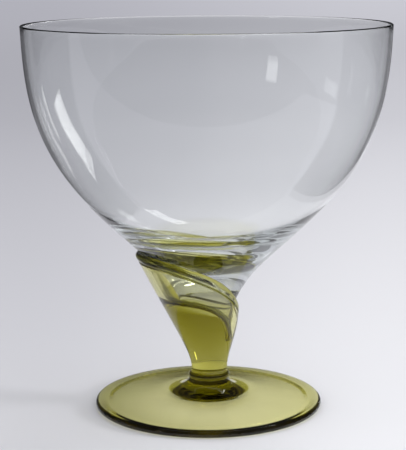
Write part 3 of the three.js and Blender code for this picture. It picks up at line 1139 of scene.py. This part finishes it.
    def fused_depth(self, spots: np.ndarray) -> np.ndarray:
        """Find how far points lie inside the area that is fused to olive glass.

        Args:
            spots: Points of the bowl's outside.

        Returns:
            The depth in metres for each point, negative where air touches it.
        """
        leaf = self.leaf
        angles = np.arctan2(spots[:, 1], spots[:, 0])
        steps = np.linspace(-math.pi, math.pi, self.fused_steps)
        drawn = [
            (*leaf.touch(leaf.lip_centre(a), leaf.bead(a)), leaf.mouth(a), leaf.pocket_edge(a))
            for a in map(float, steps)
        ]
        upper, lower, mouth, end = (np.interp(angles, steps, row) for row in zip(*drawn))
        height = spots[:, 2]
        pocket = np.minimum(np.minimum(lower - height, height - mouth), end * self.end_slope)
        radius = np.hypot(spots[:, 0], spots[:, 1])
        beneath = leaf.cone.radius(height) - radius - self.sunk
        return np.maximum(np.minimum(upper - height, -pocket), beneath)

    def dress(self, piece: bpy.types.Object) -> None:
        """Give the bowl its place in the model.

        Args:
            piece: The bowl that was built.
        """
        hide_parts("bowl")
        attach(piece, "root")


@dataclass
class DiscFoot:
    """The olive disc foot with the collar that carries the stem.

    It stands on a flat ring near its edge. From the deck a hollow fillet rises to the roll under
    the neck, and both carry painted shade as a deeper tint.
    """

    leaf: Leaf
    finish: Glass = OLIVE
    name: str = "disc_foot"
    radius: float = 74.6 * MM
    edge: float = 4.5 * MM
    stand_inset: float = 2.6 * MM
    stand_width: float = 6 * MM
    step_width: float = 4 * MM
    step_rise: float = 1 * MM
    arch: float = 5.6 * MM
    arch_rounds: int = 6
    fillet_start: tuple[float, float] = (28 * MM, 10 * MM)
    fillet_handle: tuple[float, float] = (14.5 * MM, 11.2 * MM)
    roll_low: tuple[float, float] = (12.9 * MM, 18.6 * MM)
    roll_out: float = 13.9 * MM
    roll_handles: tuple[float, float] = (0.9 * MM, 0.5 * MM)
    # Painted shade on the fillet and on the roll under the neck.
    fillet_painted_shade: float = 0.62
    fillet_fades: tuple[float, float] = (2.0 * MM, 0.5 * MM)
    fillet_rise: float = 0.3 * MM
    roll_painted_shade: float = 0.8
    roll_fades: tuple[float, float] = (3.2 * MM, 2.4 * MM)
    top_skin: float = 0.1 * MM
    level_slack: float = 0.01 * MM
    under_points: int = 14
    bow_points: int = 18
    deck_points: int = 40
    fillet_points: int = 36
    roll_points: int = 16
    top_points: int = 12
    sides: int = 224

    def profile(self) -> np.ndarray:
        """Draw the profile from the middle of the underside to the middle of the top.

        Returns:
            Radius and height rows.
        """
        inner = self.radius - self.stand_inset - self.stand_width
        under = np.array(
            [
                (0.0, self.arch),
                (self.fillet_start[0], self.arch),
                (inner - self.step_width, self.step_rise),
                (inner, 0.0),
                (self.radius - self.stand_inset, 0.0),
            ]
        )
        dense = [under[0]]
        for low, high in zip(under[:-1], under[1:]):
            steps = np.linspace(0, 1, self.under_points)[1:]
            dense.extend(low + (high - low) * step for step in steps)
        half = self.edge / 2
        turns = np.linspace(-math.pi / 2, math.pi / 2, self.bow_points)[1:-1]
        bow = np.array([self.radius - half, half]) + half * ring(turns)
        top_start = np.array([self.radius - self.stand_inset, self.edge])
        start, handle, low = map(np.array, (self.fillet_start, self.fillet_handle, self.roll_low))
        deck = top_start + (start - top_start) * np.linspace(0, 1, self.deck_points)[:, None]
        share = np.linspace(0, 1, self.fillet_points)[:, None]
        rise = (1 - share) ** 2 * start + 2 * (1 - share) * share * handle + share**2 * low
        neck = (self.leaf.neck_radius, self.leaf.neck_bottom)
        off_low = (self.roll_out, low[1] + self.roll_handles[0])
        off_neck = (self.roll_out, neck[1] - self.roll_handles[1])
        roll = bezier([low, off_low, off_neck, neck], self.roll_points)
        across = np.linspace(neck[0], 0, self.top_points)[1:]
        top = np.column_stack([across, np.full(len(across), neck[1])])
        return np.vstack([self.soften(np.array(dense)), bow, deck, rise[1:], roll[1:], top])

    def soften(self, line: np.ndarray) -> np.ndarray:
        """Round a line's corners by averaging neighbours.

        Args:
            line: Radius and height rows, from the axis to the table's level.

        Returns:
            The same rows, softened, with their ends kept.
        """
        for _ in range(self.arch_rounds):
            line[1:-1] = (line[:-2] + 2 * line[1:-1] + line[2:]) / 4
        line[0][0] = 0.0
        line[-1][1] = 0.0
        return line

    def build(self) -> bpy.types.Object:
        """Turn the profile, lean the collar to the neck and mark the fused disc.

        Returns:
            The foot in its glass.
        """
        piece = LatheTree(self.name, self.sides).make(self.profile(), self.finish.material())
        leaf, spots = self.leaf, points_of(piece)
        height, base = spots[:, 2], self.fillet_start[1]
        lift = np.clip((height - base) / (leaf.neck_bottom - base), 0, 1)
        spots[:, 0] += leaf.neck_shift * lift**2
        move_points(piece, spots)
        away = np.hypot(spots[:, 0] - leaf.neck_shift, spots[:, 1])
        on_top = height > leaf.neck_bottom - self.level_slack
        inside = (leaf.neck_radius - away - self.level_slack) * IN_MM
        store(piece, FUSED, np.where(on_top, inside, -1.0))
        # Paint shade on the fillet and the roll.
        store(piece, PAINTED_SHADE, self.depth(away, height))
        return piece

    def depth(self, away: np.ndarray, height: np.ndarray) -> np.ndarray:
        """Return how much painted shade darkens the glass of collar and fillet.

        Args:
            away: Distance of each point from the neck's axis.
            height: Height of each point.

        Returns:
            A number from 0 to 1 for each point.
        """
        (start, base), neck = self.fillet_start, self.leaf.neck_bottom
        near, far = self.fillet_fades
        fillet = self.fillet_painted_shade * (1 - smooth(away, start - near, start - far))
        fillet *= smooth(height, base, base + self.fillet_rise)
        low, high = self.roll_fades
        roll = self.roll_painted_shade * smooth(height, neck - low, neck - high)
        return np.where(height > neck - self.top_skin, 0.0, np.maximum(fillet, roll))

    def dress(self, piece: bpy.types.Object) -> None:
        """Give the foot its place in the model.

        Args:
            piece: The foot that was built.
        """
        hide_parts("foot", "collar")
        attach(piece, "root")


@dataclass
class Window:
    """A soft lamp, by the direction in which it lies from the bowl."""

    name: str
    azimuth: float
    elevation: float
    width: float
    height: float
    radiance: float
    sight: Sight = Sight.ALL
    distance: float = 3.0
    aim: tuple[float, float, float] = (0.0, 0.0, 0.15)

    def hang(self) -> bpy.types.Object:
        """Place the lamp facing the bowl's middle.

        Returns:
            The lamp.
        """
        turn, rise = math.radians(self.azimuth), math.radians(self.elevation)
        level = math.cos(rise)
        way = Vector((level * math.cos(turn), level * math.sin(turn), math.sin(rise)))
        light = bpy.data.lights.new(self.name, "AREA")
        light.shape = "RECTANGLE"
        light.size, light.size_y = self.width, self.height
        light.energy = self.radiance * math.pi * self.width * self.height
        lamp = bpy.data.objects.new(self.name, light)
        lamp.location = Vector(self.aim) + way * self.distance
        lamp.rotation_euler = (-way).to_track_quat("-Z", "Y").to_euler()
        lamp.visible_camera = False
        lamp.visible_glossy = self.sight is not Sight.MATT
        lamp.visible_transmission = self.sight is not Sight.MATT
        if self.sight is Sight.CLEAR:
            lit = bpy.data.collections.new(self.name + "_lights")
            for name in ("clear_bowl", "floor"):
                lit.objects.link(bpy.data.objects[name])
            lamp.light_linking.receiver_collection = lit
        bpy.context.collection.objects.link(lamp)
        return lamp


@dataclass
class Viewpoint:
    """The camera, at the place and with the turn that the photograph's outlines give."""

    lens: float = 117.33
    sensor: float = 36.0
    place: tuple[float, float, float] = (0.0, -0.93726, 0.29633)
    right: tuple[float, float, float] = (0.9999824, 0.00201323, -0.00558141)
    up: tuple[float, float, float] = (0.00511307, 0.18485691, 0.98275215)
    far: float = 100.0

    def set_up(self) -> bpy.types.Object:
        """Add the camera and make it the scene's.

        Returns:
            The camera.
        """
        data = bpy.data.cameras.new("camera")
        data.lens, data.sensor_width, data.sensor_fit = self.lens, self.sensor, "AUTO"
        data.clip_end = self.far
        camera = bpy.data.objects.new("camera", data)
        right, up = Vector(self.right), Vector(self.up)
        turn = Matrix((right, up, right.cross(up))).transposed().to_4x4()
        camera.matrix_world = Matrix.Translation(self.place) @ turn
        bpy.context.collection.objects.link(camera)
        bpy.context.scene.camera = camera
        return camera


@dataclass
class Floor:
    """The plain pale floor, and the dark sides that only glass and mirror images see.

    Its stops lie along the logarithm of the distance from the viewer, one set for the left and
    one for the right. The sheet is the pale part round the bowl. Mirror images see where it ends
    in front and at the right, and they and light turned inside the glass see the dark sides
    beyond its fan.
    """

    radius: float = 14.0
    drop: float = 0.2 * MM
    sides: int = 96
    roughness: float = 0.9
    viewer_away: float = 0.937
    depth_least: float = 0.86
    depth_shift: float = 0.0656
    blend_width: float = 0.1316
    gathered: float = 0.34
    gather_at: tuple[float, float, float] = (0.02, -0.01, 0.0)
    gather_ends: tuple[float, float] = (0.035, 0.095)
    gather_tint: Colour = (1.0, 0.98, 0.92)
    sheet_front: float = -0.385
    sheet_right: float = 0.63
    sheet_fan: float = 0.185
    sheet_flare: float = 0.03
    sheet_left: float = -1.4
    sheet_back: float = -0.05
    sheet_shade: float = 0.8
    sheet_dark: Colour = (0.05, 0.05, 0.055)
    far_light: float = 0.31
    far_ends: tuple[float, float] = (0.5, 1.0)
    left: tuple[Stop, ...] = (
        (0.0, (0.66, 0.66, 0.70)),
        (0.155, (0.59, 0.59, 0.635)),
        (0.477, (0.455, 0.455, 0.50)),
        (0.932, (0.40, 0.40, 0.447)),
    )
    right: tuple[Stop, ...] = (
        (0.0, (0.86, 0.86, 0.90)),
        (0.155, (0.77, 0.77, 0.81)),
        (0.477, (0.575, 0.575, 0.62)),
        (0.932, (0.53, 0.53, 0.58)),
    )

    def lay(self) -> bpy.types.Object:
        """Lay the floor just under the foot.

        Returns:
            The floor, marked as part of the stage.
        """
        mesh = bpy.data.meshes.new("floor")
        edge = ring(np.arange(self.sides) / self.sides * TURN) * self.radius
        mesh.from_pydata([(x, y, -self.drop) for x, y in edge], [], [tuple(range(self.sides))])
        floor = bpy.data.objects.new("floor", mesh)
        bpy.context.collection.objects.link(floor)
        mat = bpy.data.materials.new("pale_floor")
        mat.use_nodes = True
        wiring = Wiring(mat.node_tree)
        finish = {
            "Base Color": self.colour(wiring),
            "Roughness": self.roughness,
            "Specular IOR Level": 0.0,
            "Emission Color": (*self.gather_tint, 1.0),
            "Emission Strength": self.gathered_light(wiring),
        }
        wiring.feed(mat.node_tree.nodes["Principled BSDF"], finish)
        floor.data.materials.append(mat)
        return floor

    def gathered_light(self, wiring: Wiring) -> bpy.types.NodeSocket:
        """Brighten the floor under the foot, as light that the glass gathers there does.

        Args:
            wiring: Wiring of the floor's node tree.

        Returns:
            The socket that carries the strength, for views through glass only.
        """
        spot = {0: wiring.place(), 1: self.gather_at}
        away = wiring.add("ShaderNodeVectorMath", spot, operation="DISTANCE").outputs["Value"]
        near, far = self.gather_ends
        fade = wiring.span(away, (near, self.gathered), (far, 0.0), soft=True)
        return wiring.reckon("MULTIPLY", fade, wiring.ray(Ray.TRANSMISSION))

    def colour(self, wiring: Wiring) -> bpy.types.NodeSocket:
        """Grade the floor: pale near the bowl and to the right, greyer far off to the left.

        Args:
            wiring: Wiring of the floor's node tree.

        Returns:
            The socket that carries the colour, a little paler far off where it is seen
            straight and not through glass.
        """
        reckon = wiring.reckon
        spot = wiring.split(wiring.place())
        depth = reckon("MAXIMUM", reckon("ADD", spot["Y"], self.viewer_away), self.depth_least)
        along = reckon("ADD", reckon("LOGARITHM", depth, 10.0), self.depth_shift)
        fan = reckon("DIVIDE", spot["X"], depth)
        share = wiring.span(fan, (-self.blend_width, 0.0), (self.blend_width, 1.0), soft=True)
        left, right = wiring.ramp(along, self.left), wiring.ramp(along, self.right)
        off_sheet = self.off_sheet(wiring, spot["X"], spot["Y"], fan)
        shade = reckon("MULTIPLY", off_sheet, self.sheet_shade)
        pale = wiring.mix(shade, wiring.mix(share, left, right), (*self.sheet_dark, 1.0))
        near, far = self.far_ends
        lift = wiring.span(along, (near, 0.0), (far, self.far_light), soft=True)
        seen = reckon("MULTIPLY", lift, wiring.ray(Ray.CAMERA))
        raised = {0: pale, "Scale": reckon("ADD", seen, 1.0)}
        return wiring.add("ShaderNodeVectorMath", raised, operation="SCALE").outputs[0]

    def off_sheet(
        self, wiring: Wiring, across: Feed, back: Feed, fan: Feed
    ) -> bpy.types.NodeSocket:
        """Find where the dark room beyond the pale sheet is seen by a ray.

        Args:
            wiring: Wiring of the floor's node tree.
            across: Place to the right.
            back: Place away from the viewer.
            fan: Place to the right for each metre from the viewer.

        Returns:
            A socket that is 1 for mirror images off the sheet, and for light that was turned
            inside the glass towards its far sides.
        """
        reckon, mirror = wiring.reckon, wiring.ray(Ray.REFLECTION)
        front = reckon("LESS_THAN", back, self.sheet_front)
        beyond = reckon("MAXIMUM", front, reckon("GREATER_THAN", across, self.sheet_right))
        wide = reckon("MAXIMUM", fan, reckon("MULTIPLY", fan, self.sheet_left))
        wide = reckon("SUBTRACT", wide, reckon("MULTIPLY", back, self.sheet_flare))
        behind = reckon("GREATER_THAN", back, self.sheet_back)
        aside = reckon("MULTIPLY", reckon("GREATER_THAN", wide, self.sheet_fan), behind)
        inside = reckon("GREATER_THAN", wiring.ray(Ray.MIRROR_BOUNCES), 0.5)
        turned = reckon("MULTIPLY", inside, wiring.ray(Ray.TRANSMISSION))
        bent = reckon("MULTIPLY", aside, reckon("MAXIMUM", turned, mirror))
        return reckon("MAXIMUM", reckon("MULTIPLY", beyond, mirror), bent)


@dataclass
class Studio:
    """Floor, soft surroundings, lamps and the camera.

    Plain is the strength of the even light on matt things, and mirrored the share of the room
    that shows in mirror images. The room's stops rise from straight down to straight up.
    """

    floor: Floor = field(default_factory=Floor)
    viewpoint: Viewpoint = field(default_factory=Viewpoint)
    plain: float = 0.84
    mirrored: float = 0.10
    room: tuple[Stop, ...] = (
        (0.0, (0.50, 0.50, 0.55)),
        (0.34, (0.55, 0.55, 0.59)),
        (0.50, (0.34, 0.34, 0.37)),
        (0.66, (0.44, 0.44, 0.46)),
        (1.0, (0.56, 0.56, 0.56)),
    )
    lamps: tuple[Window, ...] = (
        Window("window_right", 42, 17.5, 0.64, 0.98, 3.6, Sight.CLEAR),
        Window("window_slit", 62, 6, 0.16, 0.40, 2.0),
        Window("window_front", -137.5, 14.7, 0.40, 0.47, 2.4),
        Window("window_left", 170, 13.5, 0.70, 0.22, 1.1),
        Window("ceiling", 60, 54, 0.90, 0.42, 4.4),
        Window("side_lamp", -6, 13, 0.50, 0.50, 55.0, Sight.MATT),
    )

    def surroundings(self) -> None:
        """Set the world: plain light for matt things, a calm room for glass and camera."""
        world = bpy.data.worlds.new("room")
        bpy.context.scene.world = world
        world.use_nodes = True
        world.node_tree.nodes.clear()
        wiring = Wiring(world.node_tree)
        way = wiring.add("ShaderNodeTexCoord", {}).outputs["Generated"]
        level = wiring.span(wiring.ray(Ray.REFLECTION), (0.0, 1.0), (1.0, self.mirrored))
        room = {"Color": wiring.ramp(wiring.split(way)["Z"], self.room), "Strength": level}
        plain = {"Color": (1.0, 1.0, 1.0, 1.0), "Strength": self.plain}
        seen = wiring.reckon("MAXIMUM", wiring.ray(Ray.CAMERA), wiring.ray(Ray.GLOSSY))
        seen = wiring.reckon("MAXIMUM", seen, wiring.ray(Ray.TRANSMISSION))
        direct = wiring.reckon("LESS_THAN", wiring.ray(Ray.MATT_BOUNCES), 0.5)
        mix = {
            "Fac": wiring.reckon("MULTIPLY", seen, direct),
            1: wiring.add("ShaderNodeBackground", plain).outputs[0],
            2: wiring.add("ShaderNodeBackground", room).outputs[0],
        }
        surface = wiring.add("ShaderNodeMixShader", mix).outputs[0]
        wiring.add("ShaderNodeOutputWorld", {"Surface": surface})

    def set_up(self) -> None:
        """Put the whole studio in place."""
        self.floor.lay()
        self.surroundings()
        for lamp in self.lamps:
            lamp.hang()
        self.viewpoint.set_up()
        scene = bpy.context.scene
        scene.view_settings.view_transform = "Standard"
        scene.cycles.max_bounces = THROUGH_BOUNCES
        scene.cycles.transmission_bounces = THROUGH_BOUNCES
        scene.cycles.transparent_max_bounces = THROUGH_BOUNCES
        scene.cycles.glossy_bounces = MIRROR_BOUNCES
        scene.cycles.blur_glossy = 0.0
        scene.cycles.sample_clamp_indirect = 0.0


def main() -> None:
    """Build every piece in order and report each one."""
    log = logging.getLogger("bowl")
    logging.basicConfig(level=logging.INFO, format="%(message)s")
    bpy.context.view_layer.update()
    leaf = Leaf(Cone())
    for maker in (ClearBowl(leaf), LeafStem(leaf), DiscFoot(leaf)):
        piece = maker.build()
        maker.dress(piece)
        points, faces = len(piece.data.vertices), len(piece.data.polygons)
        log.info("%s: %d points, %d faces", piece.name, points, faces)
    Studio().set_up()


if __name__ == "__main__":
    main()
